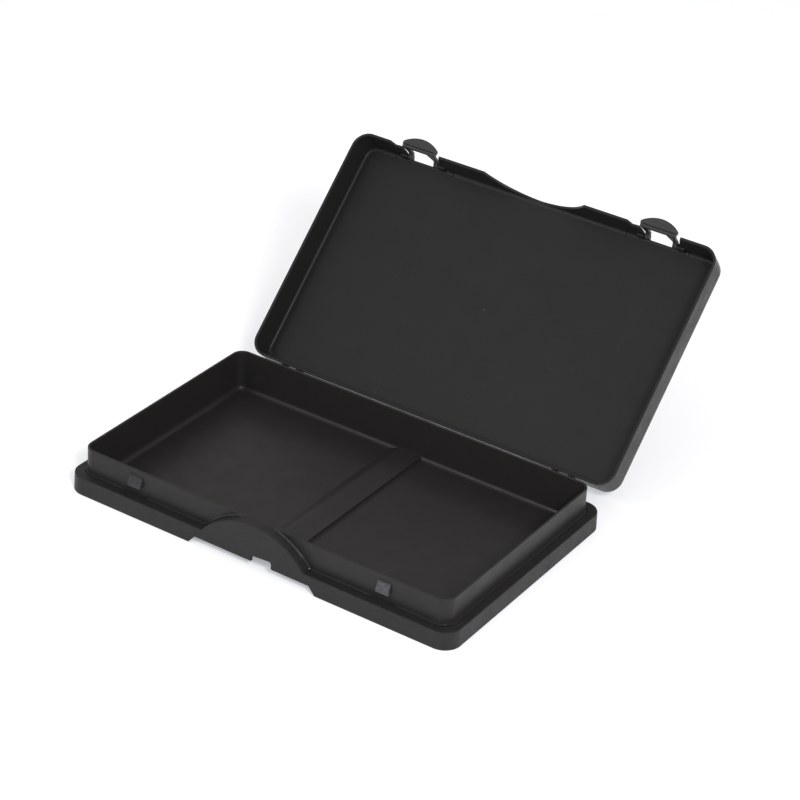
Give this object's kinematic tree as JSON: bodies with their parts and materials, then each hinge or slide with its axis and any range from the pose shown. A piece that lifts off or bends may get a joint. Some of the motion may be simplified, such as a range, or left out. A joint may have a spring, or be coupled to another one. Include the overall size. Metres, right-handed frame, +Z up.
{
  "type": "toolbox with tray",
  "caption": "Flat hinged carrying case with a shallow rectangular tray, front hand grip, snap latches and a lid that folds back.",
  "frame": {"origin": "centre of the base's footprint, on the underside of the tray's floor, which is the ground plane", "axes": "+X along the front to the right seen from the front, +Y from the front grip to the rear hinges, +Z up"},
  "size_m": [0.34, 0.3804, 0.1728],
  "materials": {
    "base": "fine-textured injection-moulded black polypropylene",
    "tray": "smooth satin injection-moulded black polypropylene",
    "lid": "satin injection-moulded black polypropylene, fine-textured outside",
    "latch": "fine-textured black plastic",
    "pin": "drawn steel wire"
  },
  "bodies": {
    "base": {"base_shell": "base", "tray": "tray", "hinge_pin_left": "pin", "hinge_pin_right": "pin"},
    "lid": {"lid_shell": "lid"},
    "latch_left": {"latch_left": "latch"},
    "latch_right": {"latch_right": "latch"}
  },
  "joints": [
    {"name": "lid_hinge", "type": "hinge", "parent": "base", "child": "lid", "pos_m": [0, 0.11, 0.01665], "axis": [1, 0, 0], "range_deg": [0, 135]},
    {"name": "latch_left_hinge", "type": "hinge", "parent": "lid", "child": "latch_left", "pos_m": [-0.11, 0.27097, 0.15252], "axis": [-1, 0, 0], "range_deg": [-7, 60]},
    {"name": "latch_right_hinge", "type": "hinge", "parent": "lid", "child": "latch_right", "pos_m": [0.11, 0.27097, 0.15252], "axis": [-1, 0, 0], "range_deg": [-7, 60]}
  ]
}
